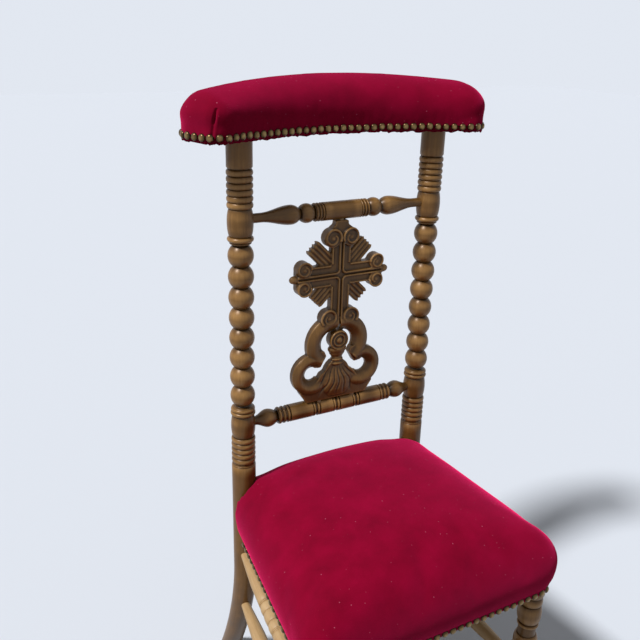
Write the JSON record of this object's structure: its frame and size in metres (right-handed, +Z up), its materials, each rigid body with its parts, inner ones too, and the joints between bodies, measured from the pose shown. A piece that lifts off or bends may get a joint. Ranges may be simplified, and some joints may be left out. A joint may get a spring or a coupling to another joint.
{
  "type": "prayer side chair",
  "caption": "Low side chair with turned posts, a carved cross splat between turned rails, a padded bowed arm rest on top, a stuffed velvet seat and turned stretchers.",
  "frame": {"origin": "on the floor, under the centre of the chair's box", "axes": "+Z up, the chair faces -Y, +X to the right of someone who looks at its front"},
  "size_m": [0.4758, 0.437, 1.0134],
  "materials": {
    "bronzed_wood": "worn bronze and brown paint over turned wood, satin",
    "worn_wood": "pale worn varnish on turned wood, satin",
    "frame_wood": "bare sawn beech",
    "crimson_velvet": "cotton velvet, short pile",
    "antique_brass": "antiqued domed nail heads",
    "horsehair": "curled hair stuffing",
    "jute": "woven jute strap"
  },
  "bodies": {
    "root": {"back_rail_dowel_left": "frame_wood", "back_rail_dowel_right": "frame_wood", "back_stretcher": "worn_wood", "corner_block_front_left": "frame_wood", "corner_block_front_right": "frame_wood", "corner_block_rear_left": "frame_wood", "corner_block_rear_right": "frame_wood", "cross_splat": "bronzed_wood", "front_leg_left": "bronzed_wood", "front_leg_right": "bronzed_wood", "front_rail_dowel_left": "frame_wood", "front_rail_dowel_right": "frame_wood", "front_stretcher": "worn_wood", "lower_cross_rail": "bronzed_wood", "post_left": "bronzed_wood", "post_right": "bronzed_wood", "seat_nails": "antique_brass", "seat_rail_back": "frame_wood", "seat_rail_front": "frame_wood", "seat_rail_left": "frame_wood", "seat_rail_right": "frame_wood", "seat_rear_nails": "antique_brass", "seat_stuffing": "horsehair", "seat_velvet": "crimson_velvet", "side_rail_dowel_left": "frame_wood", "side_rail_dowel_right": "frame_wood", "side_stretcher_lower_left": "worn_wood", "side_stretcher_lower_right": "worn_wood", "side_stretcher_upper_left": "worn_wood", "side_stretcher_upper_right": "worn_wood", "splat_bottom_dowel_left": "frame_wood", "splat_bottom_dowel_right": "frame_wood", "splat_top_dowel": "frame_wood", "top_rest_board": "frame_wood", "top_rest_nails": "antique_brass", "top_rest_stuffing": "horsehair", "top_rest_velvet": "crimson_velvet", "upper_cross_rail": "bronzed_wood", "webbing_cross_front": "jute", "webbing_cross_middle": "jute", "webbing_cross_rear": "jute", "webbing_long_left": "jute", "webbing_long_middle": "jute", "webbing_long_right": "jute"}
  },
  "joints": []
}
